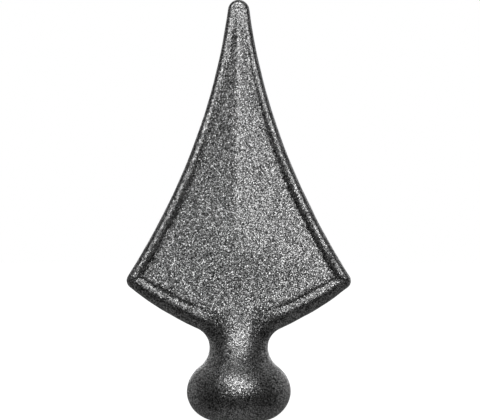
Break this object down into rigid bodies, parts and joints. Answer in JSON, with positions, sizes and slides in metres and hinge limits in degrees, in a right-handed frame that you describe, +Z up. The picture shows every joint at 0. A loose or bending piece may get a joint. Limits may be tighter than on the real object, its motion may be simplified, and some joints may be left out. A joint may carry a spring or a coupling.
{
  "type": "fence finial",
  "caption": "Spearhead finial for a fence picket: flat blade with raised rims and a middle ridge, on a short neck and a round knob with a flat underside.",
  "frame": {"origin": "centre of the knob's flat underside", "axes": "+Z up from the knob to the tip, X across the blade, Y through its thickness; the front faces -Y"},
  "size_m": [0.08, 0.037, 0.15],
  "materials": {
    "raw_cast_iron": "raw grey, grainy as cast and shot-blasted"
  },
  "bodies": {
    "root": {"spear_finial": "raw_cast_iron"}
  },
  "joints": []
}
